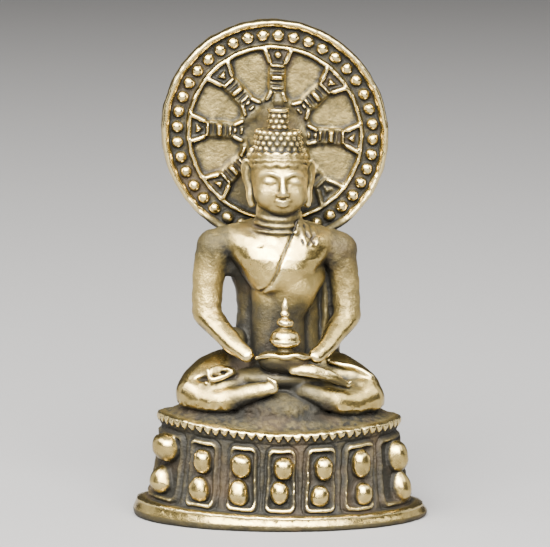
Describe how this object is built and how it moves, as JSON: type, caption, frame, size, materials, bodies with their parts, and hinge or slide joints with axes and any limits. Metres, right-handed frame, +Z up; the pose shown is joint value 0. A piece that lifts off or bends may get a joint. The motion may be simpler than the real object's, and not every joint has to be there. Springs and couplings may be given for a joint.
{
  "type": "seated buddha figurine",
  "caption": "Small solid brass casting of a seated figure holding a domed reliquary before a wheel-shaped halo, on an oval plinth with petal panels and bosses.",
  "frame": {"origin": "middle of the plinth's underside, under the middle of the whole casting's box", "axes": "+Z up, the figure faces -Y, +X is the viewer's right and the figure's left"},
  "size_m": [0.0298, 0.0194, 0.05],
  "materials": {
    "brass": "cast brass with a dark olive-brown patina in the recesses, worn bright on the high points"
  },
  "bodies": {
    "root": {"figurine": "brass"}
  },
  "joints": []
}
